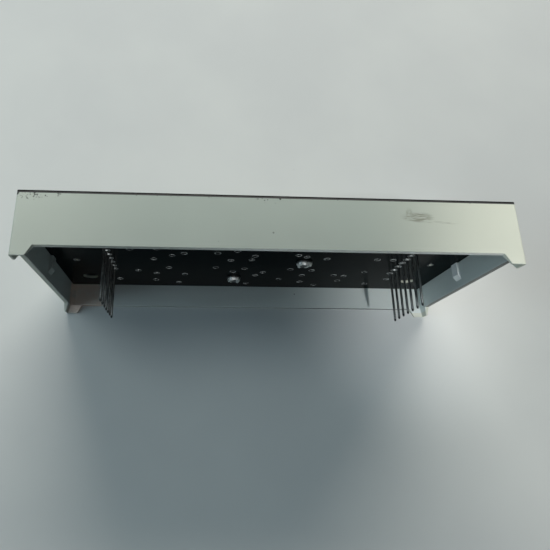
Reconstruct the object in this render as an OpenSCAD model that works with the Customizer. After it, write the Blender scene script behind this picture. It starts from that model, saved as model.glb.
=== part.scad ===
// Three-digit seven segment display module, lying on one long side wall.
// X runs along the module, -Y is the lit face, +Y the open back with the pins, +Z is up.
// The origin is the middle of the long wall that the module stands on.

/* [Case] */
// Length of the moulded case
case_l = 90; // [86:1:110]
// Height of the case, across the digits
case_h = 45; // [40:1:60]
// Depth of the case walls, without the face film and the feet
case_d = 9.9; // [9:0.1:16]
// Thickness of the case walls
wall_t = 1; // [0.8:0.1:1.6]
// Thickness of the plate that holds the segment windows
plate_t = 1.2; // [0.8:0.1:1.6]
// Radius of the upright outer corners
corner_r = 0.4; // [0.1:0.1:1]
// Width of the step that the board rests on
ledge_w = 0.8; // [0.5:0.1:1.2]
// Thickness of the stiffening webs behind the plate
web_t = 0.8; // [0.6:0.1:1.2]

/* [Feet] */
// How far the corner feet stand out behind the walls
foot_d = 1.85; // [0.5:0.05:3]
// Length of a foot where it leaves the wall
foot_root = 3.75; // [3:0.05:6]
// How much shorter a foot is at its tip
foot_chamfer = 1.1; // [0.2:0.05:1.8]
// Thickness of a foot at its tip
foot_tip_t = 0.4; // [0.2:0.1:0.7]

/* [Digits] */
// Height of a digit
digit_h = 23; // [19:0.5:25]
// Width of a digit before it is slanted
digit_w = 13; // [11:0.5:14]
// Distance from one digit to the next
digit_pitch = 20; // [19.5:0.1:20.6]
// Width of a lit segment
seg_w = 2.8; // [2:0.1:3]
// Gap between neighbouring segments
seg_gap = 0.6; // [0.4:0.1:1]
// Slant of the digits in degrees
slant = 8; // [0:1:10]
// Radius of a decimal point
point_r = 1.2; // [1:0.1:1.4]
// How much narrower a cavity is at the board, on each side
cup_draft = 0.45; // [0.2:0.05:0.6]
// Wall round the segment cavities
cup_wall = 0.9; // [0.6:0.1:1]
// Depth of the diffuser in a cavity
lens_t = 1.5; // [0.8:0.1:1.8]
// Gap between a diffuser and its cavity
lens_gap = 0.02; // [0.01:0.01:0.05]

/* [Face film] */
// Thickness of the black film over the face
film_t = 0.25; // [0.1:0.05:0.4]
// How far the film stays inside the edge of the case
film_inset = 0; // [0:0.05:0.5]
// How far the film laps over each diffuser
film_lap = 0.12; // [0.05:0.01:0.3]

/* [Circuit board] */
// Thickness of the board
board_t = 1.6; // [0.8:0.1:1.8]
// Depth from the back of the film to the board
board_depth = 3.05; // [2.8:0.05:4]
// Gap between the board's edge and the walls
board_gap = 0.2; // [0.05:0.05:0.5]
// Radius of the four corner holes
vent_r = 1.7; // [1:0.1:2]
// Distance of a corner hole from the end of the case
vent_from_end = 6.8; // [5:0.1:8]
// Distance of a corner hole from the long side of the case
vent_from_side = 8.7; // [6:0.1:10]

/* [Plated holes] */
// Radius of the hole through the board
via_r = 0.35; // [0.2:0.05:0.45]
// Outer radius of the solder ring
ring_r = 0.7; // [0.6:0.05:0.9]
// Height of the solder ring
ring_t = 0.08; // [0.05:0.01:0.3]

/* [Pins] */
// Distance between the two rows of pins
row_gap = 63.5; // [61:0.1:68]
// Distance from one pin to the next
pin_pitch = 2.54; // [2:0.01:2.8]
// Radius of a pin
pin_r = 0.25; // [0.2:0.01:0.35]
// How far the pins stand out behind the board
pin_l = 11.3; // [6:0.1:16]
// How far the pins stand out in front of the board
pin_head = 0.6; // [0.3:0.1:1]
// Length of the tapered tip
pin_tip = 0.3; // [0.1:0.05:0.6]
// How much thicker a pin's tapered shank is at its front end, on each side
shank_extra = 0.06; // [0.02:0.01:0.1]
// Gap between a pin's shank and the board
pin_gap = 0.1; // [0.05:0.05:0.2]
// Radius of the solder joint at its foot
joint_r = 0.8; // [0.7:0.05:1]
// Height of the solder joint
joint_h = 0.5; // [0.3:0.05:1]
// Thickness of the solder round the pin at the top of the joint
joint_top = 0.1; // [0.05:0.05:0.2]

/* [Lamps] */
// Length of a lamp chip
lamp_l = 1.6; // [1:0.1:1.8]
// Width of a lamp chip
lamp_w = 0.8; // [0.5:0.1:1]
// Height of a lamp chip with its clear top
lamp_h = 0.7; // [0.4:0.1:1]

/* [Heat stakes] */
// Radius of a stake where it goes through the board
stake_r = 0.8; // [0.6:0.1:1]
// Gap between a stake and the board
stake_gap = 0.2; // [0.05:0.05:0.3]
// Radius of the melted head
stake_head_r = 1.5; // [1.2:0.1:1.7]
// Height of the melted head
stake_head_h = 0.8; // [0.5:0.1:1.4]
// Distance of the lower stake from the middle of the module
stake_x = 4.4; // [-6:0.1:6]
// Distance of the lower stake below the digits
stake_drop = 1.6; // [1.3:0.1:3]
// Distance of the upper stake below the middle of the digits
stake_low = 0.5; // [-1:0.1:1]
// How much thicker a stake's shoulder is than its stem, on each side
stake_shoulder = 0.5; // [0.3:0.1:0.8]

/* [End ribs] */
// How far the rib on each end wall stands out
rib_out = 0.7; // [0.3:0.1:1]
// Width of the rib
rib_w = 2.4; // [1:0.1:4]
// Length of the rib behind the board
rib_l = 3.7; // [2:0.1:3.9]
// Length of the slope at the back of the rib that the board is pushed in over
rib_lead = 1; // [0.3:0.1:1.5]

/* [Hidden] */
$fn = 48;
digits = 3;
seg_names = ["a", "b", "c", "d", "e", "f", "g"];
pins_per_row = 7;
pins = 2 * pins_per_row;
mid_z = case_h / 2;
face_y = -case_d / 2;
back_y = case_d / 2;
board_front = face_y + board_depth;
board_back = board_front + board_t;
board_l = case_l - 2 * wall_t - 2 * board_gap;
board_h = case_h - 2 * wall_t - 2 * board_gap;
touch = 0.01;
cup_scale = (seg_w - 2 * cup_draft) / seg_w;
lens_scale = 1 - (1 - cup_scale) * lens_t / board_depth;
fit_scale = (seg_w - 2 * lens_gap) / seg_w;
window_scale = (seg_w - 2 * film_lap) / seg_w;
web_from_mid = digit_h / 2 - wall_t;
shank_r = pin_r + shank_extra;
shank_front = board_front - pin_head;
shank_back = board_back + joint_h;
via_keep = 0.5;
via_low = 9;

// Plated holes, in four columns of the board: [from the middle, from the lower long side]
via_left = [[-38.5, 21.5], [-32.5, 10], [-29, 24.5], [-28.5, 5.5], [-25.5, 24.5], [-25.5, 15.5],
    [-21.5, 12], [-21, 8], [-19, 12.5]];
via_mid_left = [[-16, 4], [-14.5, 24.5], [-13, 16], [-12, 6.5], [-11.5, 12], [-10, 25.5], [-8, 26.5],
    [-8, 16.5], [-6.5, 8.5], [-2, 14]];
via_mid_right = [[-0.5, 11.5], [1, 25.5], [1, 4.5], [1.5, 23], [2.5, 16.5], [5, 28.5], [5, 14],
    [6, 22.5], [9, 27], [9, 17]];
via_right = [[16, 26.5], [16, 11.5], [17.5, 4.5], [18.5, 25], [19.5, 16.5], [21.5, 29], [22.5, 22.5],
    [22.5, 12], [23, 6.5], [26.5, 14], [27, 28.5], [31.5, 7], [39, 21]];
via_seen = concat(via_left, via_mid_left, via_mid_right, via_right);
vent_x = case_l / 2 - vent_from_end;
vent_z = mid_z - vent_from_side;
vent_spots = [for (sx = [-1, 1]) for (sz = [-1, 1]) [sx * vent_x, mid_z + sz * vent_z]];
stake_spots = [[stake_x, mid_z - digit_h / 2 - stake_drop], [-digit_pitch / 2, mid_z - stake_low]];
// The plated holes below the digits are repeated above them
via_all = concat(via_seen, [for (p = via_seen) if (p[1] < via_low) [p[0], case_h - p[1]]]);
via_spots = [for (p = via_all) if (via_is_free(p)) p];

function segment_name(d, s) = str("digit_", d + 1, "_segment_", seg_names[s]);
function point_name(d) = str("digit_", d + 1, "_decimal_point");
function lamps_name(d) = str("digit_", d + 1, "_lamps");
function pin_name(i) = str("pin_", i + 1);

// Distance between two points of the face
function span(p, q) = norm([p[0] - q[0], p[1] - q[1]]);

// A plated hole is made where it is on the board and clear of pins, stakes and corner holes
function via_is_free(p) =
    abs(p[0]) < board_l / 2 - ring_r - via_keep
    && abs(p[1] - mid_z) < board_h / 2 - ring_r - via_keep
    && min([for (q = vent_spots) span(p, q)]) > vent_r + ring_r + via_keep
    && min([for (q = stake_spots) span(p, q)]) > stake_head_r + ring_r + via_keep
    && min([for (i = [0 : pins - 1]) span(p, pin_spot(i))]) > joint_r + ring_r + via_keep;

// Pins 1 to 7 run down the left side of the face, 8 to 14 up the right side
function pin_spot(i) =
    let (left = i < pins_per_row, row = left ? i : pins - 1 - i)
    [(left ? -1 : 1) * row_gap / 2, mid_z + ((pins_per_row - 1) / 2 - row) * pin_pitch];

// Leans a point of an upright digit over by the slant
function lean(p) = [p[0] + p[1] * tan(slant), p[1]];
function digit_spot(d) = [(d - (digits - 1) / 2) * digit_pitch, mid_z];
function moved(points, by) = [for (p = points) p + by];
function scaled(points, k) = [for (p = points) k * p];
function flipped(points, fx, fz) = [for (p = points) [fx * p[0], fz * p[1]]];

// Outline of segment a, a bar with mitred ends along the top of the digit
function top_bar() =
    let (x = digit_w / 2 - seg_gap * 0.7, z = digit_h / 2)
    [[-x, z], [x, z], [x - seg_w, z - seg_w], [seg_w - x, z - seg_w]];

// Outline of segment b, from the upper right corner down to the middle
function side_bar() =
    let (x = digit_w / 2, z = digit_h / 2 - seg_gap * 0.7, low = seg_gap / 2)
    [[x, z], [x, low + seg_w / 4], [x - seg_w / 2, low], [x - seg_w, low + seg_w / 2], [x - seg_w, z - seg_w]];

// Outline of segment g, a bar with pointed ends across the middle
function middle_bar() =
    let (x = digit_w / 2 - seg_w / 2 - seg_gap, z = seg_w / 2)
    [[-x, 0], [z - x, z], [x - z, z], [x, 0], [x - z, -z], [z - x, -z]];

function upright_segment(s) =
    s == 0 ? top_bar()
    : s == 1 ? side_bar()
    : s == 2 ? flipped(side_bar(), 1, -1)
    : s == 3 ? flipped(top_bar(), 1, -1)
    : s == 4 ? flipped(side_bar(), -1, -1)
    : s == 5 ? flipped(side_bar(), -1, 1)
    : middle_bar();

function segment_points(s) = [for (p = upright_segment(s)) lean(p)];
function middle(points) = [for (axis = [0, 1])
    (max([for (p = points) p[axis]]) + min([for (p = points) p[axis]])) / 2];
function segment_turn(s) = (s == 0 || s == 3 || s == 6) ? 0 : 90 - slant;
function segment_length(s) = (s == 0 || s == 3) ? digit_w - 2 * seg_w
    : s == 6 ? digit_w - 2 * seg_w - 2 * seg_gap : digit_h / 2 - seg_w;
// Radius of a pin's tapered shank at a depth
function shank_at(y) = pin_r + shank_extra * (shank_back - y) / (shank_back - shank_front);
function point_spot() = lean([digit_w / 2 + point_r + seg_gap, -digit_h / 2 + point_r]);

// Turns a flat outline of the face into a solid between two depths
module slab(front, back) {
    translate([0, back, 0]) rotate([90, 0, 0]) linear_extrude(back - front) children();
}

// A rod along Y between two depths, from one radius to another
module rod(spot, front, back, r_front, r_back) {
    translate([spot[0], back, spot[1]]) rotate([90, 0, 0])
        cylinder(r1 = r_back, r2 = r_front, h = back - front);
}

// The outline of the case, drawn in from its edge
module case_outline(inset, r) {
    translate([inset - case_l / 2 + r, inset]) square([case_l - 2 * inset - 2 * r, case_h - 2 * inset]);
    translate([inset - case_l / 2, inset + r]) square([case_l - 2 * inset, case_h - 2 * inset - 2 * r]);
    for (sx = [-1, 1]) for (sz = [-1, 1])
        translate([sx * (case_l / 2 - inset - r), mid_z + sz * (mid_z - inset - r)]) circle(r);
}

// The plain inside of the case, drawn in from its edge
module inner_outline(inset) {
    translate([inset - case_l / 2, inset]) square([case_l - 2 * inset, case_h - 2 * inset]);
}

// A plug with the outline of one segment, full size at the face and narrower behind
module segment_plug(d, s, depth, back_scale, fit) {
    points = segment_points(s);
    centre = middle(points);
    spot = digit_spot(d) + centre;
    translate([spot[0], face_y + depth, spot[1]]) rotate([90, 0, 0])
        linear_extrude(depth, scale = 1 / back_scale)
            polygon(scaled(moved(points, -centre), back_scale * fit));
}

// A slanted block round one digit, with two pockets inside the loops of the figure
module digit_block(d) {
    w = digit_w / 2 + cup_wall;
    h = digit_h / 2 + cup_wall;
    pocket_w = digit_w / 2 - seg_w - cup_wall;
    pocket_top = digit_h / 2 - seg_w - cup_wall;
    pocket_low = seg_w / 2 + cup_wall;
    spot = digit_spot(d);
    difference() {
        slab(face_y, board_front) translate(spot) polygon([lean([-w, -h]), lean([w, -h]), lean([w, h]), lean([-w, h])]);
        for (side = [-1, 1])
            slab(face_y + plate_t, board_front + touch) translate(spot)
                polygon([for (p = [[-1, pocket_low], [1, pocket_low], [1, pocket_top], [-1, pocket_top]])
                    lean([p[0] * pocket_w, side * p[1]])]);
    }
    rod(digit_spot(d) + point_spot(), face_y, board_front, point_r + cup_wall, point_r + cup_wall);
}

// Webs from the outer digits to the ends and from every digit to the long walls
module webs() {
    block_end = digit_spot(digits - 1)[0] + digit_w / 2;
    web_l = case_l / 2 - wall_t - block_end + touch;
    for (sx = [-1, 1]) for (sz = [-1, 1])
        slab(face_y + plate_t - touch, board_front)
            translate([sx * (block_end + web_l / 2), mid_z + sz * web_from_mid])
                square([web_l, web_t], center = true);
    for (d = [0 : digits - 1])
        slab(face_y + plate_t - touch, board_front)
            translate([digit_spot(d)[0] - web_t / 2, wall_t - touch])
                difference() {
                    square([web_t, case_h - 2 * wall_t + 2 * touch]);
                    translate([-web_t, mid_z - wall_t - digit_h / 2]) square([3 * web_t, digit_h]);
                }
}

// Two legs of corner feet, one at each end of a wall of the given length whose outer face is at Z = 0.
// A leg gets shorter towards its tip by its chamfer, and thinner by a slope on the inside.
module foot_legs(wall_l) {
    intersection() {
        for (side = [0, 1])
            mirror([side, 0, 0]) translate([-wall_l / 2, 0, 0])
                linear_extrude(wall_t)
                    polygon([[0, back_y - touch], [foot_root, back_y - touch], [foot_root, back_y],
                        [foot_root - foot_chamfer, back_y + foot_d], [0, back_y + foot_d]]);
        translate([-wall_l / 2, 0, 0]) rotate([90, 0, 90])
            linear_extrude(wall_l)
                polygon([[back_y - touch, 0], [back_y - touch, wall_t], [back_y, wall_t],
                    [back_y + foot_d, foot_tip_t], [back_y + foot_d, 0]]);
    }
}

// The feet of the long walls and of the end walls, rounded at the corners of the case
module feet() {
    intersection() {
        for (quarter = [0 : 3]) {
            along = quarter % 2 == 0 ? case_l : case_h;
            across = quarter % 2 == 0 ? case_h : case_l;
            translate([0, 0, mid_z]) rotate([0, 90 * quarter, 0])
                translate([0, 0, -across / 2]) foot_legs(along);
        }
        slab(back_y - foot_d, back_y + 2 * foot_d) case_outline(0, corner_r);
    }
}

// A stake that holds the board: shoulder, stem through the board and melted head
module stake(spot) {
    shoulder_r = stake_r + stake_shoulder;
    rod(spot, face_y, board_front, shoulder_r, shoulder_r);
    rod(spot, board_front - touch, board_back + touch, stake_r, stake_r);
    rod(spot, board_back, board_back + stake_head_h, stake_head_r, stake_head_r * 0.75);
}

// Ribs on the end walls that hold the board in, each with a slope at its back
module end_ribs() {
    inner = case_l / 2 - wall_t;
    for (side = [0, 1])
        mirror([side, 0, 0]) translate([0, 0, mid_z - rib_w / 2])
            linear_extrude(rib_w)
                polygon([[inner + touch, board_back], [inner - rib_out, board_back],
                    [inner - rib_out, board_back + rib_l - rib_lead], [inner + touch, board_back + rib_l]]);
}

module case() {
    color("ivory") difference() {
        union() {
            slab(face_y, back_y) difference() {
                case_outline(0, corner_r);
                inner_outline(wall_t);
            }
            slab(face_y, face_y + plate_t) inner_outline(wall_t - touch);
            slab(face_y, board_front) difference() {
                inner_outline(wall_t - touch);
                inner_outline(wall_t + ledge_w);
            }
            for (d = [0 : digits - 1]) digit_block(d);
            webs();
            feet();
            end_ribs();
            for (spot = stake_spots) stake(spot);
        }
        for (d = [0 : digits - 1]) {
            for (s = [0 : 6]) segment_plug(d, s, board_depth, cup_scale, 1);
            rod(digit_spot(d) + point_spot(), face_y - touch, board_front + touch, point_r, point_r);
        }
    }
}

module face_film() {
    color("black") slab(face_y - film_t, face_y) difference() {
        case_outline(film_inset, corner_r);
        for (d = [0 : digits - 1]) translate(digit_spot(d)) {
            for (s = [0 : 6]) {
                points = segment_points(s);
                centre = middle(points);
                translate(centre) polygon(scaled(moved(points, -centre), window_scale));
            }
            translate(point_spot()) circle(point_r - film_lap);
        }
    }
}

module circuit_board() {
    color("darkslategray") slab(board_front, board_back) difference() {
        inner_outline(wall_t + board_gap);
        for (spot = vent_spots) translate(spot) circle(vent_r);
        for (spot = stake_spots) translate(spot) circle(stake_r + stake_gap);
        for (spot = via_spots) translate(spot) circle(via_r);
        for (i = [0 : pins - 1]) translate(pin_spot(i)) circle(shank_r + pin_gap);
    }
}

module plated_hole_rings() {
    color("silver") slab(board_back, board_back + ring_t)
        for (spot = via_spots) translate(spot) difference() {
            circle(ring_r);
            circle(via_r);
        }
}

// Solder cones round the pins of one row, bored for the pins
module pin_solder(first) {
    color("silver") difference() {
        for (i = [first : first + pins_per_row - 1])
            rod(pin_spot(i), board_back, shank_back, joint_r, pin_r + joint_top);
        for (i = [first : first + pins_per_row - 1])
            rod(pin_spot(i), board_back - joint_h, shank_back + touch,
                shank_at(board_back - joint_h) + touch, shank_at(shank_back) + touch);
    }
}

module segment_lens(d, s) {
    color("white") segment_plug(d, s, lens_t, lens_scale, fit_scale);
}

module point_lens(d) {
    color("white") rod(digit_spot(d) + point_spot(), face_y, face_y + lens_t, point_r - lens_gap, point_r - lens_gap);
}

// One lamp chip: a flat base on the board with a clear block on it
module lamp(spot, turn) {
    base = lamp_h * 0.4;
    translate([spot[0], board_front, spot[1]]) rotate([0, -turn, 0]) {
        translate([0, -base / 2, 0]) cube([lamp_l, base, lamp_w], center = true);
        translate([0, -lamp_h / 2 - base / 4, 0]) cube([lamp_l * 0.6, lamp_h - base / 2, lamp_w], center = true);
    }
}

// Two lamps behind every segment and one behind the point
module digit_lamps(d) {
    color("gold") {
        for (s = [0 : 6]) {
            spot = digit_spot(d) + middle(segment_points(s));
            turn = segment_turn(s);
            step = segment_length(s) / 6;
            for (side = [-1, 1]) lamp(spot + side * step * [cos(turn), sin(turn)], turn);
        }
        lamp(digit_spot(d) + point_spot(), 0);
    }
}

// A straight round pin with a slightly tapered shank in the board and a tapered tip
module pin(i) {
    spot = pin_spot(i);
    tip = board_back + pin_l;
    color("slategray") {
        rod(spot, shank_front, shank_back, shank_at(shank_front), shank_at(shank_back));
        rod(spot, shank_back - touch, tip - pin_tip, pin_r, pin_r);
        rod(spot, tip - pin_tip - touch, tip, pin_r, pin_r * 0.6);
    }
}

case();
face_film();
circuit_board();
plated_hole_rings();
pin_solder(0);  // left_pin_solder
pin_solder(pins_per_row);  // right_pin_solder
for (d = [0 : digits - 1]) for (s = [0 : 6]) segment_lens(d, s);
for (d = [0 : digits - 1]) point_lens(d);
for (d = [0 : digits - 1]) digit_lamps(d);
for (i = [0 : pins - 1]) pin(i);
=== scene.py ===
# Seven segment display module standing on its long wall, seen from above and behind
import bpy
import math
import numpy as np
from mathutils import Matrix, Vector


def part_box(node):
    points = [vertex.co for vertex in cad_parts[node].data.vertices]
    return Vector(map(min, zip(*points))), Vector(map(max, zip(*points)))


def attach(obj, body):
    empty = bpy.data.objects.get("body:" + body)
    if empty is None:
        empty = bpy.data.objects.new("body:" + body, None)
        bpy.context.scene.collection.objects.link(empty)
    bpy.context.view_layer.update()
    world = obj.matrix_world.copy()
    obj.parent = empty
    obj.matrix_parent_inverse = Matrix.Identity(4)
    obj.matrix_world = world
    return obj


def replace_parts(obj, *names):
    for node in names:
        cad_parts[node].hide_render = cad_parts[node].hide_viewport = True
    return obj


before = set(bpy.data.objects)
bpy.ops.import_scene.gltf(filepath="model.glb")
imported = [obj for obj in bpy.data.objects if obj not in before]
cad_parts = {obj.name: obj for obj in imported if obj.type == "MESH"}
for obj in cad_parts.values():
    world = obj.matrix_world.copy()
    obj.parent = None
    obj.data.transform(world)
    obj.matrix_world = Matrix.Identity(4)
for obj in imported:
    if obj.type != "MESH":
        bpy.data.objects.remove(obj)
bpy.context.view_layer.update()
scene = bpy.context.scene
scene.view_settings.view_transform = "Standard"
mm = 0.001
print("frame loaded:", len(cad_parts), "nodes")

caseLow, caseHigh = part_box("case")
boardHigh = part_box("circuit_board")[1]
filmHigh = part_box("face_film")[1]
pinNames = sorted(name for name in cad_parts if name.startswith("pin_"))
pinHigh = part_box(pinNames[0])[1]


# Small helpers for shader trees
def tone(red, green, blue):  # display values from 0 to 255, turned into scene colour
    scaled = (channel / 255 for channel in (red, green, blue))
    return tuple(c / 12.92 if c <= 0.04045 else ((c + 0.055) / 1.055) ** 2.4 for c in scaled) + (1.0,)


def addNode(tree, kind, settings=None, **inputs):  # input names have _ for a space, or are inN for a number
    node = tree.nodes.new(kind)
    for name, value in (settings or {}).items():
        setattr(node, name, value)
    for name, value in inputs.items():
        key = int(name[2:]) if name[:2] == "in" and name[2:].isdigit() else name.replace("_", " ")
        if isinstance(value, bpy.types.NodeSocket):
            tree.links.new(value, node.inputs[key])
        else:
            node.inputs[key].default_value = value
    return node


def calc(tree, operation, a, b=0.0, c=0.0, clamp=False):
    settings = {"operation": operation, "use_clamp": clamp}
    return addNode(tree, "ShaderNodeMath", settings, in0=a, in1=b, in2=c).outputs[0]


def multiply(tree, first, *others):
    for other in others:
        first = calc(tree, "MULTIPLY", first, other)
    return first


def strongest(tree, first, *others):
    for other in others:
        first = calc(tree, "MAXIMUM", first, other)
    return first


def calcVector(tree, operation, *vectors):
    inputs = {f"in{number}": vector for number, vector in enumerate(vectors)}
    return addNode(tree, "ShaderNodeVectorMath", {"operation": operation}, **inputs).outputs


def ramp(tree, value, low, high, outLow=0.0, outHigh=1.0, smooth=True):
    kind = {"interpolation_type": "SMOOTHSTEP" if smooth else "LINEAR", "clamp": True}
    return addNode(tree, "ShaderNodeMapRange", kind, Value=value, From_Min=low, From_Max=high,
                   To_Min=outLow, To_Max=outHigh).outputs[0]


def varyRoughness(tree, noise, limits):  # most of a noise lies between 0.3 and 0.7
    return ramp(tree, noise, 0.3, 0.7, *limits, smooth=False)


def blendColour(tree, share, first, second, kind="MIX"):
    node = tree.nodes.new("ShaderNodeMix")
    node.data_type, node.blend_type = "RGBA", kind
    for socket, value in ((node.inputs[0], share), (node.inputs[6], first), (node.inputs[7], second)):
        if isinstance(value, bpy.types.NodeSocket):
            tree.links.new(value, socket)
        else:
            socket.default_value = value
    return node.outputs[2]


def shadeColour(tree, colour, value):  # the colour times one value
    grey = addNode(tree, "ShaderNodeCombineColor", in0=value, in1=value, in2=value)
    return blendColour(tree, 1.0, colour, grey.outputs[0], "MULTIPLY")


def objectPoint(tree):
    return tree.nodes.new("ShaderNodeTexCoord").outputs["Object"]


def objectNormal(tree):
    return tree.nodes.new("ShaderNodeTexCoord").outputs["Normal"]


def splitAxes(tree, vector):
    return addNode(tree, "ShaderNodeSeparateXYZ", in0=vector).outputs


def addNoise(tree, scale, detail):
    noise = addNode(tree, "ShaderNodeTexNoise", Vector=objectPoint(tree), Scale=scale, Detail=detail)
    return noise.outputs[0]


def connect(tree, shader, colour, rough, normal):
    tree.links.new(colour, shader.inputs["Base Color"])
    tree.links.new(rough, shader.inputs["Roughness"])
    tree.links.new(normal, shader.inputs["Normal"])


def newGroup(name, inputs, outputs):  # inputs: (name, kind, default), outputs: (name, kind)
    group = bpy.data.node_groups.new(name, "ShaderNodeTree")
    for label, kind, default in inputs:
        socket = group.interface.new_socket(name=label, in_out="INPUT", socket_type="NodeSocket" + kind)
        if default is not None:
            socket.default_value = default
    for label, kind in outputs:
        group.interface.new_socket(name=label, in_out="OUTPUT", socket_type="NodeSocket" + kind)
    start = group.nodes.new("NodeGroupInput")
    end = group.nodes.new("NodeGroupOutput")
    return group, start.outputs, end.inputs


def useGroup(tree, group, **inputs):
    return addNode(tree, "ShaderNodeGroup", {"node_tree": group}, **inputs).outputs


# Softened edges: the mask is 1 on a rounded edge, broken up by noise, and the normal rounds it; it marks wear
# on the film and a painted highlight on the case
def makeEdgeGroup():
    inputs = [("Radius", "Float", 0.15 * mm), ("Patchiness", "Float", 0.5), ("Scale", "Float", 900.0)]
    group, given, out = newGroup("edge wear and highlight", inputs, [("Mask", "Float"), ("Normal", "Vector")])
    rounded = addNode(group, "ShaderNodeBevel", {"samples": 6}, Radius=given["Radius"]).outputs[0]
    flat = group.nodes.new("ShaderNodeNewGeometry").outputs["Normal"]
    turned = calc(group, "SUBTRACT", 1.0, calcVector(group, "DOT_PRODUCT", rounded, flat)["Value"])
    bend = calc(group, "MULTIPLY", turned, 6.0, clamp=True)  # a turn of 34 degrees counts in full
    patch = multiply(group, ramp(group, addNoise(group, given["Scale"], 3.0), 0.42, 0.6), given["Patchiness"])
    group.links.new(multiply(group, bend, calc(group, "SUBTRACT", 1.0, patch)), out["Mask"])
    group.links.new(rounded, out["Normal"])
    return group


# Fine moulded or matt grain: a bump over the given normal, and a shade that goes with it
def makeGrainGroup():
    inputs = [("Scale", "Float", 3000.0), ("Depth", "Float", 0.01 * mm), ("Strength", "Float", 0.4),
              ("Normal", "Vector", None)]
    group, given, out = newGroup("fine grain", inputs, [("Shade", "Float"), ("Normal", "Vector")])
    fine = addNoise(group, given["Scale"], 4.0)
    bump = addNode(group, "ShaderNodeBump", Strength=given["Strength"], Distance=given["Depth"],
                   Height=fine, Normal=given["Normal"])
    group.links.new(fine, out["Shade"])
    group.links.new(bump.outputs[0], out["Normal"])
    return group


# Scattered specks: small cells of which only a share is kept, each with its own size
def makeSpeckGroup():
    inputs = [("Scale", "Float", 1500.0), ("Size", "Float", 0.2), ("Share", "Float", 0.1)]
    group, given, out = newGroup("specks", inputs, [("Mask", "Float")])
    cells = addNode(group, "ShaderNodeTexVoronoi", Vector=objectPoint(group), Scale=given["Scale"])
    tones = addNode(group, "ShaderNodeSeparateColor", in0=cells.outputs["Color"])
    kept = calc(group, "LESS_THAN", tones.outputs[0], given["Share"])
    reach = multiply(group, given["Size"], calc(group, "ADD", tones.outputs[1], 0.3))
    spot = ramp(group, calc(group, "DIVIDE", cells.outputs["Distance"], reach), 1.0, 0.6)
    group.links.new(multiply(group, spot, kept), out["Mask"])
    return group


# A smudge in an oval of the given middle and half size, torn by noise that is stretched as given
def makeSmudgeGroup():
    inputs = [("Middle", "Vector", None), ("Half", "Vector", (mm, mm, mm)), ("Stretch", "Vector", (1, 1, 1)),
              ("Scale", "Float", 1000.0), ("Low", "Float", 0.4), ("High", "Float", 0.6)]
    group, given, out = newGroup("smudge", inputs, [("Mask", "Float")])
    point = objectPoint(group)
    away = calcVector(group, "SUBTRACT", point, given["Middle"])[0]
    share = calcVector(group, "DIVIDE", away, given["Half"])[0]
    inside = ramp(group, calcVector(group, "LENGTH", share)["Value"], 1.0, 0.45)
    pulled = calcVector(group, "MULTIPLY", point, given["Stretch"])[0]
    noise = addNode(group, "ShaderNodeTexNoise", Vector=pulled, Scale=given["Scale"], Detail=5.0)
    torn = ramp(group, noise.outputs[0], given["Low"], given["High"])
    group.links.new(multiply(group, inside, torn), out["Mask"])
    return group


edgeGroup = makeEdgeGroup()
grainGroup = makeGrainGroup()
speckGroup = makeSpeckGroup()
smudgeGroup = makeSmudgeGroup()


def newMaterial(name, **fixed):  # fixed values go straight onto the shader's own sockets
    material = bpy.data.materials.new(name)
    material.use_nodes = True
    tree = material.node_tree
    shader = tree.nodes["Principled BSDF"]
    for label, value in fixed.items():
        shader.inputs[label.replace("_", " ")].default_value = value
    return material, tree, shader


def dress(material, *names):  # puts a material on CAD nodes, whose meshes stay as they are
    for name in names:
        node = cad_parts[name]
        node.data.materials.clear()
        node.data.materials.append(material)


# Face film: black satin sheet, rubbed a little grey along its cut edge
filmLook = {
    "black": tone(5, 6, 6),
    "rubbed": tone(52, 54, 53),
    "edges": {"Radius": 0.06 * mm, "Patchiness": 1.0, "Scale": 500.0},
    "edgeShare": 0.1,
    "dust": {"Scale": 600.0, "Size": 0.12, "Share": 0.14},
    "dustShare": 0.4,
    "grain": {"Scale": 5200.0, "Depth": 0.01 * mm, "Strength": 0.45},
    "roughness": (0.42, 0.6),
}


def makeFilm():
    look = filmLook
    material, tree, shader = newMaterial("blackFilm", IOR=1.2)
    edges = useGroup(tree, edgeGroup, **look["edges"])
    grain = useGroup(tree, grainGroup, Normal=edges["Normal"], **look["grain"])
    dust = useGroup(tree, speckGroup, **look["dust"])["Mask"]
    rubbed = multiply(tree, edges["Mask"], look["edgeShare"])
    colour = blendColour(tree, rubbed, look["black"], look["rubbed"])
    colour = blendColour(tree, multiply(tree, dust, look["dustShare"]), colour, look["rubbed"])
    rough = varyRoughness(tree, addNoise(tree, 60.0, 3.0), look["roughness"])
    connect(tree, shader, colour, rough, grain["Normal"])
    return material


blackFilm = makeFilm()
dress(blackFilm, "face_film")
print("film done")
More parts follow.
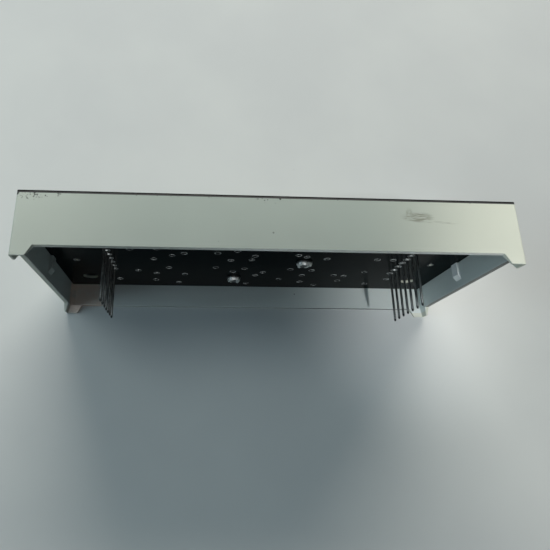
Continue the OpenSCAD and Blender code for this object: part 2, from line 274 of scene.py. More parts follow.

# Case plastic: pale moulded styrene, greyer at one end and ivory at the other, with marks of handling and
# painted light and shade
caseLook = {
    "grey": tone(152, 161, 153),
    "ivory": tone(212, 214, 199),
    "pale": tone(174, 181, 171),
    "inside": tone(207, 214, 210),
    "paintedShadeEnd": tone(150, 160, 158),
    "edge": tone(226, 229, 219),
    "rimLight": tone(250, 251, 246),
    "rimShade": tone(92, 97, 94),
    "dirt": tone(34, 36, 33),
    "scuff": tone(118, 119, 104),
    "stressed": tone(250, 252, 251),
    "brown": tone(214, 190, 172),
    # where along the module a tint begins and is full
    "ivoryRange": (-13 * mm, -46 * mm),
    "paleRange": (18 * mm, 47 * mm),
    "litRimRange": (30 * mm, -5 * mm),
    "shadedRimRange": (0.0, -20 * mm),
    # depths from the outside of a wall
    "innerDepth": 0.7 * mm,
    "paintedShadeDepth": (2.2 * mm, 1.9 * mm),
    "upperRimDepth": (1.3 * mm, 1.1 * mm),
    "ribStart": (1.02 * mm, 1.06 * mm),
    "ribEnd": (1.9 * mm, 1.8 * mm),
    "stainDepth": 0.2 * mm,
    "ribHalf": 2 * mm,  # from the middle of the rib to its ends
    # places from the front to the back
    "shading": (1.07, 0.95),  # painted light and shade: how pale the walls are at the lit front face and at shadeEnd
    "shadeEnd": 4 * mm,
    "rimPlace": 4.95 * mm,  # where the walls end
    "rimHalf": 0.1 * mm,
    "seam": (0.28 * mm, 0.2 * mm),  # dark line behind the film
    "fleckReach": (0.6 * mm, 0.05 * mm),
    "mottle": (0.95, 1.04),
    "edges": {"Radius": 0.18 * mm, "Patchiness": 0.4, "Scale": 700.0},
    "edgeShare": (0.25, 0.8),  # on the grey end and on the ivory end
    "scuffShare": 0.8,
    "stressedShare": 0.9,
    "flecks": {"Scale": 2200.0, "Size": 0.5, "Share": 0.36},
    "stray": {"Scale": 420.0, "Size": 0.1, "Share": 0.12},
    "strayShare": 0.6,
    "grain": {"Scale": 2600.0, "Depth": 0.012 * mm, "Strength": 0.35},
    "roughness": (0.44, 0.58),
    "scuffRoughness": 0.2,
}

# Marks on the case: middle and half size in millimetres, then stretch, scale and range of the noise
# that tears the mark, and how strong it is
wallTop = caseHigh.z / mm
evenly = (1.0, 1.0, 1.0)
caseMarks = {
    "scuff": ((-26.2, -1.7, wallTop), (3.5, 1.25, 1.0), (0.14, 1.0, 1.0), 3400.0, (0.36, 0.6), 1.0),
    "scuffStart": ((-24.7, -2.2, wallTop), (1.0, 1.5, 1.0), (1.0, 0.5, 1.0), 1800.0, (0.3, 0.6), 0.6),
    "scuffTail": ((-30.2, -0.7, wallTop), (4.2, 0.35, 1.0), (0.12, 1.0, 1.0), 3000.0, (0.46, 0.6), 0.45),
    "stain": ((40.5, 2.8, 1.0), (7.5, 7.0, 2.6), evenly, 300.0, (0.2, 0.6), 0.85),
    "cornerFlecks": ((40.5, -4.6, wallTop), (4.2, 1.0, 1.0), evenly, 300.0, (0.1, 0.5), 1.0),
    "middleFlecks": ((0.2, -4.6, wallTop), (3.4, 1.0, 1.0), evenly, 300.0, (0.1, 0.5), 1.0),
    "cornerDirt": ((42.4, -4.1, wallTop), (2.8, 1.0, 1.0), evenly, 2400.0, (0.5, 0.66), 0.8),
    "filmScrap": ((44.9, -4.75, wallTop), (0.55, 0.7, 1.0), evenly, 200.0, (0.0, 0.3), 1.0),
}


def addMark(tree, name):
    middle, half, stretch, scale, (low, high), strength = caseMarks[name]
    mask = useGroup(tree, smudgeGroup, Middle=[v * mm for v in middle], Half=[v * mm for v in half],
                    Stretch=stretch, Scale=scale, Low=low, High=high)["Mask"]
    return multiply(tree, mask, strength)


# Tints along the module: ivory towards one end, partly yellowing and partly painted highlight, and paler
# towards the other; painted light on the walls' inner faces and painted shade on one end wall's inner face
def tintCase(tree, axes, fromMiddle, ageing):
    look = caseLook
    colour = blendColour(tree, ageing, look["grey"], look["ivory"])
    colour = blendColour(tree, ramp(tree, axes[0], *look["paleRange"]), colour, look["pale"])
    # painted light and shade: the walls are paler towards the lit front and darker towards the back
    shade = ramp(tree, axes[1], caseLow.y, look["shadeEnd"], *look["shading"], smooth=False)
    colour = shadeColour(tree, colour, shade)
    fromEnds = calc(tree, "SUBTRACT", caseHigh.x - look["innerDepth"], calc(tree, "ABSOLUTE", axes[0]))
    fromSides = calc(tree, "SUBTRACT", caseHigh.z / 2 - look["innerDepth"], fromMiddle)
    inside = calc(tree, "GREATER_THAN", calc(tree, "MINIMUM", fromEnds, fromSides), 0.0)
    # painted shade: one end wall's inner face, and the rib on it, darkened as if in shadow
    paintedShadeEnd = ramp(tree, axes[0], *[caseHigh.x - depth for depth in look["paintedShadeDepth"]])
    # painted light: the inner faces take a paler colour to brighten the walls' shaded insides
    colour = blendColour(tree, inside, colour, blendColour(tree, paintedShadeEnd, look["inside"], look["paintedShadeEnd"]))
    mottle = ramp(tree, addNoise(tree, 45.0, 3.0), 0.3, 0.7, *look["mottle"], smooth=False)
    return shadeColour(tree, colour, mottle)


# Painted light on the walls' back edges: a painted highlight along the upper wall, and painted shade towards
# one end on the others
def tintRims(tree, axes, colour):
    look = caseLook
    facing = splitAxes(tree, objectNormal(tree))
    place = calc(tree, "COMPARE", axes[1], look["rimPlace"], look["rimHalf"])
    onRim = multiply(tree, place, calc(tree, "GREATER_THAN", facing[1], 0.7))
    upper = ramp(tree, axes[2], *[caseHigh.z - depth for depth in look["upperRimDepth"]])
    litRim = multiply(tree, onRim, upper, ramp(tree, axes[0], *look["litRimRange"]))
    colour = blendColour(tree, litRim, colour, look["rimLight"])
    lower = calc(tree, "SUBTRACT", onRim, upper, clamp=True)
    shadedRim = multiply(tree, lower, ramp(tree, axes[0], *look["shadedRimRange"]))
    return blendColour(tree, shadedRim, colour, look["rimShade"])


# A snap rib that was bent most has gone white, and a brown stain lies low in one corner
def tintCorners(tree, axes, fromMiddle, colour):
    look = caseLook
    fromWall = calc(tree, "SUBTRACT", axes[0], caseLow.x)
    onRib = multiply(tree, ramp(tree, fromWall, *look["ribStart"]), ramp(tree, fromWall, *look["ribEnd"]))
    onRib = multiply(tree, onRib, calc(tree, "LESS_THAN", fromMiddle, look["ribHalf"]))
    colour = blendColour(tree, multiply(tree, onRib, look["stressedShare"]), colour, look["stressed"])
    fromOutside = calc(tree, "SUBTRACT", caseHigh.x, calc(tree, "ABSOLUTE", axes[0]))
    indoors = calc(tree, "GREATER_THAN", fromOutside, look["stainDepth"])
    return blendColour(tree, multiply(tree, addMark(tree, "stain"), indoors), colour, look["brown"])


# Black flecks of film caught along the front edge, dirt in one upper corner and a few loose specks
def addDirt(tree, axes, colour):
    look = caseLook
    fromFilm = calc(tree, "SUBTRACT", axes[1], filmHigh.y)
    cluster = ramp(tree, addNoise(tree, 150.0, 2.0), 0.52, 0.66)
    nearFilm = multiply(tree, ramp(tree, fromFilm, *look["fleckReach"]), cluster)
    nearFilm = strongest(tree, nearFilm, addMark(tree, "cornerFlecks"), addMark(tree, "middleFlecks"))
    flecks = useGroup(tree, speckGroup, **look["flecks"])["Mask"]
    stray = useGroup(tree, speckGroup, **look["stray"])["Mask"]
    dirt = strongest(tree, multiply(tree, flecks, nearFilm), multiply(tree, stray, look["strayShare"]),
                     addMark(tree, "cornerDirt"))
    colour = blendColour(tree, dirt, colour, look["dirt"])
    seam = strongest(tree, ramp(tree, fromFilm, *look["seam"]), addMark(tree, "filmScrap"))
    return blendColour(tree, seam, colour, filmLook["black"])


def makeCasePlastic():
    look = caseLook
    material, tree, shader = newMaterial("casePlastic", IOR=1.47)
    axes = splitAxes(tree, objectPoint(tree))
    fromMiddle = calc(tree, "ABSOLUTE", calc(tree, "SUBTRACT", axes[2], caseHigh.z / 2))
    # share of ivory along the module: partly yellowing, partly a painted highlight on the lit end
    ageing = ramp(tree, axes[0], *look["ivoryRange"])
    colour = tintCase(tree, axes, fromMiddle, ageing)
    edges = useGroup(tree, edgeGroup, **look["edges"])
    # painted highlight: pale rounded edges on the case, stronger at the ivory end
    edgeShare = ramp(tree, ageing, 0.0, 1.0, *look["edgeShare"], smooth=False)
    colour = blendColour(tree, multiply(tree, edges["Mask"], edgeShare), colour, look["edge"])
    colour = tintRims(tree, axes, colour)
    # grey scuff with streaks along the upper wall
    scuff = strongest(tree, *[addMark(tree, name) for name in ("scuff", "scuffStart", "scuffTail")])
    colour = blendColour(tree, multiply(tree, scuff, look["scuffShare"]), colour, look["scuff"])
    colour = tintCorners(tree, axes, fromMiddle, colour)
    colour = addDirt(tree, axes, colour)
    grain = useGroup(tree, grainGroup, Normal=edges["Normal"], **look["grain"])
    rough = varyRoughness(tree, grain["Shade"], look["roughness"])
    rough = calc(tree, "ADD", rough, multiply(tree, scuff, look["scuffRoughness"]))
    connect(tree, shader, colour, rough, grain["Normal"])
    return material


casePlastic = makeCasePlastic()
dress(casePlastic, "case")
print("case plastic done")

# Circuit board: black solder mask over woven laminate, with pale cut edges and hole walls near its ends,
# painted darker deeper in the holes
boardLook = {
    "mask": tone(3, 11, 12),
    "cut": tone(206, 207, 192),
    "dust": tone(110, 114, 110),
    "dustSpecks": {"Scale": 900.0, "Size": 0.14, "Share": 0.12},
    "dustShare": 0.12,
    "cutFrom": 35 * mm,
    "cutShadeDepth": (0.9 * mm, 0.3 * mm),  # painted shade: the bare laminate darkens with depth into the holes
    "weave": 2400.0,
    "cloudShare": 0.6,  # how much of the bump is cloud
    "roughness": (0.13, 0.23),
    "cutRoughness": 0.4,
}


def makeBoard():
    look = boardLook
    material, tree, shader = newMaterial("boardLaminate", IOR=1.06)
    point = objectPoint(tree)
    axes = splitAxes(tree, point)
    facing = splitAxes(tree, objectNormal(tree))
    sideways = calc(tree, "LESS_THAN", calc(tree, "ABSOLUTE", facing[1]), 0.5)
    nearEnds = calc(tree, "GREATER_THAN", calc(tree, "ABSOLUTE", axes[0]), look["cutFrom"])
    # painted shade: the hole walls darken deeper in
    depth = ramp(tree, axes[1], *[boardHigh.y - depth for depth in look["cutShadeDepth"]])
    cut = multiply(tree, sideways, nearEnds, depth)
    cloud = addNoise(tree, 240.0, 4.0)
    dust = useGroup(tree, speckGroup, **look["dustSpecks"])["Mask"]
    colour = blendColour(tree, multiply(tree, dust, look["dustShare"]), look["mask"], look["dust"])
    colour = blendColour(tree, cut, colour, look["cut"])
    threads = [addNode(tree, "ShaderNodeTexWave", {"bands_direction": way}, Vector=point, Scale=look["weave"],
                       Distortion=0.6, Detail=1.0).outputs[1] for way in ("X", "Z")]
    weave = calc(tree, "ADD", multiply(tree, *threads), multiply(tree, cloud, look["cloudShare"]))
    bump = addNode(tree, "ShaderNodeBump", Strength=0.25, Distance=0.008 * mm, Height=weave)
    rough = varyRoughness(tree, cloud, look["roughness"])
    rough = calc(tree, "ADD", rough, multiply(tree, cut, look["cutRoughness"]))
    connect(tree, shader, colour, rough, bump.outputs[0])
    return material


boardLaminate = makeBoard()
dress(boardLaminate, "circuit_board")
print("board done")

# Metals: tinned steel pins, darker and rougher towards their ends, and dull solder
pinLook = {
    "bright": tone(128, 131, 131),
    "dull": tone(48, 51, 52),
    "end": tone(30, 32, 33),
    "endRange": (pinHigh.y - 0.6 * mm, pinHigh.y - 0.4 * mm),
    "endRoughness": 0.6,
    "roughness": (0.38, 0.2),  # where it is dull and where it is bright
    "scale": 2200.0,
    "stretch": (1.0, 0.1, 1.0),
    "depth": 0.01 * mm,
}
solderLook = {
    "bright": tone(190, 194, 194),
    "dull": tone(84, 88, 88),
    "roughness": (0.54, 0.36),
    "scale": 1600.0,
    "stretch": (1.0, 1.0, 1.0),
    "depth": 0.03 * mm,
}


def makeMetal(name, look):
    material, tree, shader = newMaterial(name, Metallic=1.0)
    pulled = addNode(tree, "ShaderNodeMapping", in0=objectPoint(tree), Scale=look["stretch"]).outputs[0]
    streak = addNode(tree, "ShaderNodeTexNoise", Vector=pulled, Scale=look["scale"], Detail=4.0).outputs[0]
    colour = blendColour(tree, ramp(tree, streak, 0.36, 0.64), look["dull"], look["bright"])
    bump = addNode(tree, "ShaderNodeBump", Strength=0.3, Distance=look["depth"], Height=streak)
    rough = varyRoughness(tree, streak, look["roughness"])
    if "end" in look:
        along = splitAxes(tree, objectPoint(tree))[1]
        ends = ramp(tree, along, *look["endRange"])
        colour = blendColour(tree, ends, colour, look["end"])
        rough = strongest(tree, rough, multiply(tree, ends, look["endRoughness"]))
    connect(tree, shader, colour, rough, bump.outputs[0])
    return material


pinMetal = makeMetal("pinMetal", pinLook)
solder = makeMetal("solder", solderLook)
dress(pinMetal, *pinNames)
dress(solder, "plated_hole_rings", "left_pin_solder", "right_pin_solder")

# Milky diffusers with fine light-scattering grains, and the lamp chips behind them
diffuserLook = {
    "light": tone(214, 217, 208),
    "deep": tone(196, 201, 192),
    "roughness": (0.29, 0.42),
}
lampLook = {
    "light": tone(226, 226, 218),
    "deep": tone(206, 178, 92),
    "roughness": (0.15, 0.28),
}


def makeResin(name, look):
    material, tree, shader = newMaterial(name, IOR=1.5, Coat_Weight=0.3, Coat_Roughness=0.12)
    cloud = addNoise(tree, 220.0, 3.0)
    grains = useGroup(tree, speckGroup, Scale=5200.0, Size=0.4, Share=0.3)["Mask"]
    colour = blendColour(tree, ramp(tree, cloud, 0.35, 0.65), look["deep"], look["light"])
    colour = blendColour(tree, multiply(tree, grains, 0.3), colour, look["light"])
    grain = useGroup(tree, grainGroup, Scale=3600.0, Depth=0.006 * mm, Strength=0.3)
    rough = varyRoughness(tree, cloud, look["roughness"])
    connect(tree, shader, colour, rough, grain["Normal"])
    return material


diffuserResin = makeResin("diffuserResin", diffuserLook)
lampResin = makeResin("lampResin", lampLook)
dress(diffuserResin, *[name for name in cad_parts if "segment" in name or "decimal_point" in name])
dress(lampResin, *[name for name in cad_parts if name.endswith("lamps")])
print("metals and resins done")


# Meshes from grids of points
def gridFaces(rows, columns, copies=1, closeRows=False):  # quads of a grid whose columns close on themselves
    row = np.arange(rows if closeRows else rows - 1)[:, None]
    column = np.arange(columns)[None, :]
    here, above = row * columns, (row + 1) % rows * columns
    beside = (column + 1) % columns
    corners = [here + column, here + beside, above + beside, above + column]
    quads = np.stack([c.ravel() for c in corners], axis=1)
    return (quads[None] + (np.arange(copies) * rows * columns)[:, None, None]).reshape(-1, 4)


def addPiece(name, points, faces, material):
    mesh = bpy.data.meshes.new(name)
    mesh.from_pydata(np.asarray(points).reshape(-1, 3).tolist(), [], [list(map(int, f)) for f in faces])
    mesh.polygons.foreach_set("use_smooth", [True] * len(mesh.polygons))
    mesh.materials.append(material)
    mesh.update()
    piece = bpy.data.objects.new(name, mesh)
    scene.collection.objects.link(piece)
    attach(piece, "root")
    return piece


# Middle of each separate solid in a CAD node: corners in one place are one, and the lowest number
# in each solid spreads along its edges until nothing changes
def islandMiddles(name):
    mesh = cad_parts[name].data
    points = np.empty(len(mesh.vertices) * 3)
    mesh.vertices.foreach_get("co", points)
    edges = np.empty(len(mesh.edges) * 2, int)
    mesh.edges.foreach_get("vertices", edges)
    places, same = np.unique(np.round(points.reshape(-1, 3) / mm, 3), axis=0, return_inverse=True)
    ends = same.ravel()[edges].reshape(-1, 2)
    label = np.arange(len(places))
    before = None
    while before is None or (label != before).any():
        before = label.copy()
        low = label[ends].min(axis=1)
        np.minimum.at(label, ends[:, 0], low)
        np.minimum.at(label, ends[:, 1], low)
    islands = [places[label == one] for one in np.unique(label)]
    return np.array([(island.min(axis=0) + island.max(axis=0)) / 2 for island in islands]) * mm


def spotAxes(middles):  # X and Z of each middle, ready to add to grids of points
    return middles[:, 0, None, None], middles[:, 2, None, None]


# Solder rings of the plated holes: each is a ring of oval section, r = middle + half width * cos v,
# height = half height * sin v, with the width and height wavering round the ring
ringShape = {
    "inner": 0.56,  # millimetres, as are the outer radius and the half height
    "outer": 0.7,
    "height": 0.035,
    "waver": 0.22,  # share of the width and height
    "around": 32,
    "section": 8,
    "seed": 4,
}


def ringPoints(middles, inner, outer):
    shape = ringShape
    random = np.random.default_rng(shape["seed"])
    phase = random.uniform(0, 2 * math.pi, (len(middles), 1, 1))
    waver = random.uniform(0.2, 1.0, (len(middles), 1, 1)) * shape["waver"]
    around = np.linspace(0, 2 * math.pi, shape["around"], endpoint=False)[None, None, :]
    section = np.linspace(0, 2 * math.pi, shape["section"], endpoint=False)[None, :, None]
    swell = 1 + waver * (np.sin(around + phase) + 0.5 * np.sin(3 * around + 2 * phase))
    radius = (inner + outer) / 2 + (outer - inner) / 2 * np.cos(section) * swell
    height = shape["height"] * np.sin(section) * swell
    spotX, spotZ = spotAxes(middles)
    x = spotX + radius * np.cos(around) * mm
    z = spotZ + radius * np.sin(around) * mm
    y = boardHigh.y + np.broadcast_to(height, radius.shape) * mm
    return np.stack(np.broadcast_arrays(x, y, z), axis=-1).reshape(-1, 3)


def ringFaces(count):
    return gridFaces(ringShape["section"], ringShape["around"], count, closeRows=True)


def makeRings():
    middles = islandMiddles("plated_hole_rings")
    points = ringPoints(middles, ringShape["inner"], ringShape["outer"])
    piece = addPiece("platedHoleSolder", points, ringFaces(len(middles)), solder)
    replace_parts(piece, "plated_hole_rings")
    return len(middles)


# Solder joints of the pins: each is a hollow-sided cone turned round its pin, whose radius falls from base
# to top with (1 - share of its height) ^ power, closed down its bore, inside a thin ring on the pad's edge
jointShape = {
    "base": 0.44,  # radii and height in millimetres
    "top": 0.31,
    "bore": 0.27,
    "height": 0.2,
    "boreDrop": 0.02,  # from the top of the cone to the edge of its bore
    "padInner": 0.62,
    "padOuter": 0.78,
    "power": 2.2,
    "lean": 0.07,
    "around": 32,
    "rise": 8,
    "seed": 9,
}


def makeJoints(node, name):
    shape = jointShape
    middles = islandMiddles(node)
    random = np.random.default_rng(shape["seed"] + len(name))
    share = np.linspace(0, 1, shape["rise"])
    outside = shape["top"] + (shape["base"] - shape["top"]) * (1 - share) ** shape["power"]
    radius = np.concatenate([outside, [shape["bore"], shape["bore"]]])[None, :, None]
    boreHeights = [shape["height"] - shape["boreDrop"], 0.0]
    height = np.concatenate([share * shape["height"], boreHeights])[None, :, None]
    around = np.linspace(0, 2 * math.pi, shape["around"], endpoint=False)[None, None, :]
    phase = random.uniform(0, 2 * math.pi, (len(middles), 1, 1))
    spread = 1 + shape["lean"] * np.cos(around - phase) * (radius > shape["bore"])
    spotX, spotZ = spotAxes(middles)
    x = spotX + radius * spread * np.cos(around) * mm
    z = spotZ + radius * spread * np.sin(around) * mm
    y = boardHigh.y + height * (1 + shape["lean"] * np.sin(around + phase)) * mm
    cones = np.stack(np.broadcast_arrays(x, y, z), axis=-1)
    coneFaces = gridFaces(cones.shape[1], shape["around"], len(middles), closeRows=True)[:, ::-1]
    cones = cones.reshape(-1, 3)
    points = np.vstack([cones, ringPoints(middles, shape["padInner"], shape["padOuter"])])
    faces = np.vstack([coneFaces, ringFaces(len(middles)) + len(cones)])
    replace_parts(addPiece(name, points, faces, solder), node)


ringCount = makeRings()
makeJoints("left_pin_solder", "leftPinJoints")
makeJoints("right_pin_solder", "rightPinJoints")
print("solder done:", ringCount, "rings")

# Melted stake heads: a shallow crater over each head of the CAD model, turned from a profile of radius
# and height. Outside the crest the radius is r * (1 + points + lobes), inside it r * (1 - lobe), and the
# crest stands over the crater's floor by its profile * (1 + waves - gap).
stakeShape = {
    # along the module and up from the floor as in the CAD model, direction of the point and of the gap
    # in the crest in degrees from +X towards +Z, and how far the point is drawn out
    "spots": ((4.4, 9.4, 178.0, 262.0, 0.06), (-10.0, 22.0, 162.0, 282.0, 0.2)),
    "profile": (  # radius and height in millimetres
        (1.53, 0.0), (1.52, 0.12), (1.46, 0.4), (1.38, 0.7), (1.26, 0.96), (1.12, 1.06), (1.0, 1.0),
        (0.93, 0.88), (0.84, 0.83), (0.0, 0.84),
    ),
    "crest": 1.08,
    "crestHalf": 0.1,  # where the outside form goes over into the inside one
    "floor": 0.83,
    "lift": 0.02,  # millimetres over the board
    "swell": 0.03,
    "lobes": (0.004, 0.012),
    "sharpness": 8,  # of the point and of the blunter one across from it
    "lobe": 0.34,
    "waves": (0.3, 0.2),
    "gapWidth": 0.16,
    "lowest": 0.05,  # share of the crest that is left in the gap
    "around": 144,
    "rise": 44,
    "seed": 3,
}
stakeLook = {
    "light": tone(214, 217, 213),
    "dull": tone(120, 125, 123),
    "thin": tone(16, 19, 19),  # painted shade in the hollow, at the foot and in the gap of the crest
    "unshadedHeights": (0.3, 0.45),
    "unshadedRadii": (0.86, 0.96),
    "roughness": (0.2, 0.45),
    "coat": (0.1, 1.0),  # in the painted-shade hollow and on the unshaded plastic
}


def makeStakePlastic():
    look = stakeLook
    material, tree, shader = newMaterial("meltedPlastic", IOR=1.4, Coat_IOR=1.75, Coat_Roughness=0.26)
    cloud = addNoise(tree, 1500.0, 4.0)
    unshaded = addNode(tree, "ShaderNodeAttribute", {"attribute_name": "unshadedShare"}).outputs["Fac"]
    colour = blendColour(tree, ramp(tree, cloud, 0.35, 0.5), look["dull"], look["light"])
    # painted shade: the shallow hollow, the foot and the crest's gap take the dark colour
    colour = blendColour(tree, unshaded, look["thin"], colour)
    grain = useGroup(tree, grainGroup, Scale=1800.0, Depth=0.03 * mm, Strength=0.3)
    rough = ramp(tree, cloud, 0.3, 0.7, *look["roughness"])
    connect(tree, shader, colour, rough, grain["Normal"])
    tree.links.new(ramp(tree, unshaded, 0.0, 0.8, *look["coat"]), shader.inputs["Coat Weight"])
    return material


# Radius and height of evenly spaced rows along a profile, without its last point
def profileGrid(profile, rise):
    knots = np.array(profile)
    steps = np.concatenate([[0], np.cumsum(np.hypot(*np.diff(knots, axis=0).T))])
    share = np.linspace(0, 1, rise + 1)[:-1, None] * steps[-1]
    return np.interp(share, steps, knots[:, 0]), np.interp(share, steps, knots[:, 1])


def fadeIn(values, low, high):  # 0 up to low, 1 from high on
    return np.clip((values - low) / (high - low), 0, 1)


def makeStakeHeads():
    shape = stakeShape
    stakePlastic = makeStakePlastic()
    random = np.random.default_rng(shape["seed"])
    rows, columns = shape["rise"], shape["around"]
    around = np.linspace(0, 2 * math.pi, columns, endpoint=False)[None, :]
    radii, heights = profileGrid(shape["profile"], rows)
    outside = fadeIn(radii, shape["crest"] - shape["crestHalf"], shape["crest"] + shape["crestHalf"])
    unshaded = fadeIn(heights, *stakeLook["unshadedHeights"]) * fadeIn(radii, *stakeLook["unshadedRadii"])
    over = np.maximum(heights - shape["floor"], 0)
    for number, (spotX, spotZ, pointTurn, gapTurn, reach) in enumerate(shape["spots"], start=1):
        towards = np.cos(around - math.radians(pointTurn))
        phase = random.uniform(0, 2 * math.pi, 8)
        lobes = shape["swell"] + sum(random.uniform(*shape["lobes"]) * np.sin(k * around + phase[k - 2])
                                     for k in range(3, 8))
        points = [np.maximum(way, 0) ** shape["sharpness"] for way in (towards, -towards)]
        drawn = reach * points[0] + reach / 2 * points[1]
        lobe = shape["lobe"] * np.maximum(towards, 0) ** 2
        gap = np.exp(-((np.cos(around - math.radians(gapTurn)) - 1) / shape["gapWidth"]) ** 2)
        broad, fine = shape["waves"]
        waves = broad * np.sin(2 * around + phase[0]) + fine * np.sin(5 * around + phase[1])
        radius = radii * (1 + (drawn + lobes) * outside - lobe * (1 - outside))
        height = heights - over + over * np.maximum(1 + waves - gap, shape["lowest"])
        unshadedShare = unshaded * (1 - gap)  # 1 on the rising side and the crest, 0 at the foot and in the hollow, which are painted dark as shade
        x = (spotX + radius * np.cos(around)) * mm
        z = (spotZ + radius * np.sin(around)) * mm
        y = boardHigh.y + (shape["lift"] + height) * mm
        grid = np.stack(np.broadcast_arrays(x, y, z), axis=-1).reshape(-1, 3)
        hub = np.array([spotX * mm, grid[-columns:, 1].mean(), spotZ * mm])
        base = np.array([spotX * mm, boardHigh.y, spotZ * mm])
        ring, beside = np.arange(columns), (np.arange(columns) + 1) % columns
        last, hubNumber = (rows - 1) * columns, rows * columns
        faces = gridFaces(rows, columns)[:, ::-1].tolist()
        faces += np.stack([last + beside, last + ring, np.full(columns, hubNumber)], axis=1).tolist()
        faces += np.stack([ring, beside, np.full(columns, hubNumber + 1)], axis=1).tolist()
        corners = np.vstack([grid, hub, base])
        head = addPiece(f"stakeHead{number}", corners, faces, stakePlastic)
        values = np.concatenate([np.broadcast_to(unshadedShare, x.shape).ravel(), [0.0, 0.0]])
        head.data.attributes.new("unshadedShare", "FLOAT", "POINT").data.foreach_set("value", values)


makeStakeHeads()
print("stake heads done")

# Floor and sky
stageLook = {
    "floor": tone(207, 210, 208),
    "floorDark": tone(201, 204, 203),
    "mark": tone(150, 152, 150),
    "markSpecks": {"Scale": 70.0, "Size": 0.05, "Share": 0.2},
    "markShare": 0.16,
    "sky": tone(206, 209, 207),
    "ambient": (0.62, 0.83, 1.0, 1.0),
    "ambientStrength": 0.05,
    "floorHalf": 3.0,  # metres, as are the fade's limits
    "fadeFrom": 0.16,
    "fadeTo": 0.6,
}


def seenRays(tree):  # 1 for rays from the camera and in gloss or glass, 0 for light that falls on the object
    rays = tree.nodes.new("ShaderNodeLightPath").outputs
    return strongest(tree, rays["Is Camera Ray"], rays["Is Glossy Ray"], rays["Is Transmission Ray"])


def makeFloor():
    look = stageLook
    half = look["floorHalf"]
    corners = [(-half, -half, 0), (half, -half, 0), (half, half, 0), (-half, half, 0)]
    mesh = bpy.data.meshes.new("floor")
    mesh.from_pydata(corners, [], [(0, 1, 2, 3)])
    floor = bpy.data.objects.new("floor", mesh)
    scene.collection.objects.link(floor)
    floor.location.z = min(caseLow.z, 0.0)
    material, tree, shader = newMaterial("floorPaint", Roughness=0.7, Specular_IOR_Level=0.1)
    cloud = ramp(tree, addNoise(tree, 18.0, 4.0), 0.35, 0.65)
    colour = blendColour(tree, cloud, look["floorDark"], look["floor"])
    marks = useGroup(tree, speckGroup, **look["markSpecks"])["Mask"]
    colour = blendColour(tree, multiply(tree, marks, look["markShare"]), colour, look["mark"])
    tree.links.new(colour, shader.inputs["Base Color"])
    # far from the module the floor fades into the sky behind it, for the camera and in reflections
    far = calcVector(tree, "LENGTH", objectPoint(tree))["Value"]
    fade = multiply(tree, ramp(tree, far, look["fadeFrom"], look["fadeTo"]), seenRays(tree))
    glow = addNode(tree, "ShaderNodeEmission", Color=look["sky"], Strength=1.0)
    mix = addNode(tree, "ShaderNodeMixShader", in0=fade, in1=shader.outputs[0], in2=glow.outputs[0])
    tree.links.new(mix.outputs[0], tree.nodes["Material Output"].inputs[0])
    mesh.materials.append(material)


def makeSky():
    look = stageLook
    world = bpy.data.worlds.new("sky")
    scene.world = world
    world.use_nodes = True
    tree = world.node_tree
    tree.nodes.clear()
    light = addNode(tree, "ShaderNodeBackground", Color=look["ambient"], Strength=look["ambientStrength"])
    shown = addNode(tree, "ShaderNodeBackground", Color=look["sky"], Strength=1.0)
    mix = addNode(tree, "ShaderNodeMixShader", in0=seenRays(tree), in1=light.outputs[0], in2=shown.outputs[0])
    out = tree.nodes.new("ShaderNodeOutputWorld")
    tree.links.new(mix.outputs[0], out.inputs[0])


# Soft panels: place and aim in metres, width and height in metres, power in watts, colour
panels = {
    "key": ((-0.12, -0.83, 0.55), (0.0, 0.0, 0.01), (1.0, 0.35), 11.4, (1.0, 0.965, 0.9)),
    "ceiling": ((0.38, -0.2, 0.86), (0.0, 0.0, 0.02), (0.36, 0.36), 1.78, (0.86, 0.98, 1.0)),
    "window": ((0.74, 0.1, 0.42), (-0.02, 0.003, 0.01), (0.3, 0.3), 1.6, (0.64, 0.87, 1.0)),
}

# A panel above and behind that shows only in gloss: on solder, pins and melted plastic
glint = {
    "place": (0.05, 0.5, 0.9),
    "aim": (0.0, 0.0, 0.02),
    "size": (1.2, 0.3),
    "power": 8.0,
    "colour": (0.97, 1.0, 1.0),
}

# A narrow soft beam from above and behind: it brightens one foot, the pins beside it and the floor there
beam = {
    "place": (-0.079, 0.255, 0.541),
    "aim": (-0.043, 0.002, 0.0),
    "power": 7.9,
    "colour": (0.97, 0.99, 1.0),
    "cone": 5.2,  # degrees
    "radius": 0.014,
}


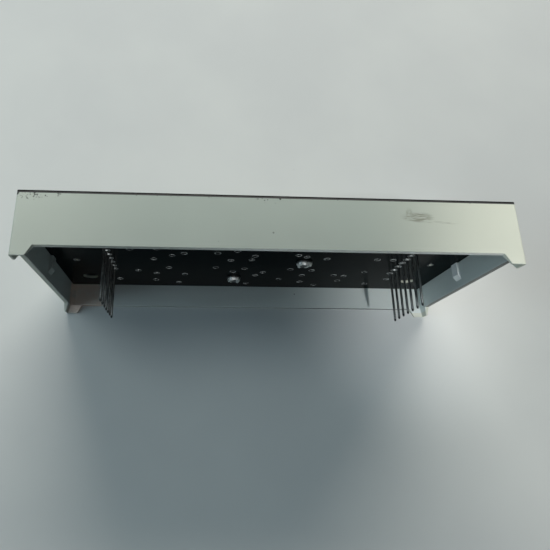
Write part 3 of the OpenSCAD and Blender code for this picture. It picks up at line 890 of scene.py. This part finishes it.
def placeLamp(name, lamp, place, aim, power, colour):
    lamp.energy = power
    lamp.color = colour
    holder = bpy.data.objects.new(name, lamp)
    holder.location = place
    holder.rotation_euler = (Vector(aim) - Vector(place)).to_track_quat("-Z", "Y").to_euler()
    scene.collection.objects.link(holder)
    return holder


def makePanel(name, place, aim, size, power, colour):
    lamp = bpy.data.lights.new(name, "AREA")
    lamp.shape = "RECTANGLE"
    lamp.size, lamp.size_y = size
    return placeLamp(name, lamp, place, aim, power, colour)


def makeBeam():
    lamp = bpy.data.lights.new("beam", "SPOT")
    lamp.spot_size = math.radians(beam["cone"])
    lamp.spot_blend = 1.0
    lamp.shadow_soft_size = beam["radius"]
    placeLamp("beam", lamp, beam["place"], beam["aim"], beam["power"], beam["colour"])


makeFloor()
makeSky()
for name, values in panels.items():
    makePanel(name, *values)
makeBeam()
makePanel("glint", **glint).visible_diffuse = False
print("stage and lamps done")

# Camera: high above the back edge, turned a little about its own line of sight
cameraView = {
    "place": (13.75, 35.49, 131.64),  # millimetres, as is the aim
    "aim": (6.87, -3.17, 22.5),
    "roll": 10.604,  # degrees
    "lens": 34.962,
    "sensor": 36.0,
    "shift": (0.0876, -0.0499),
    "clip": (0.005, 20.0),  # metres
}


def makeCamera():
    settings = cameraView
    camera = bpy.data.cameras.new("photoCamera")
    camera.sensor_width = settings["sensor"]
    camera.lens = settings["lens"]
    camera.shift_x, camera.shift_y = settings["shift"]
    camera.clip_start, camera.clip_end = settings["clip"]
    holder = bpy.data.objects.new("photoCamera", camera)
    place = Vector(settings["place"]) * mm
    forward = (Vector(settings["aim"]) * mm - place).normalized()
    level = forward.cross(Vector((0, 0, 1))).normalized()
    raised = level.cross(forward)
    roll = math.radians(settings["roll"])
    right = level * math.cos(roll) + raised * math.sin(roll)
    up = right.cross(forward)
    holder.matrix_world = Matrix.Translation(place) @ Matrix((right, up, -forward)).transposed().to_4x4()
    scene.collection.objects.link(holder)
    scene.camera = holder


makeCamera()
print("camera done")
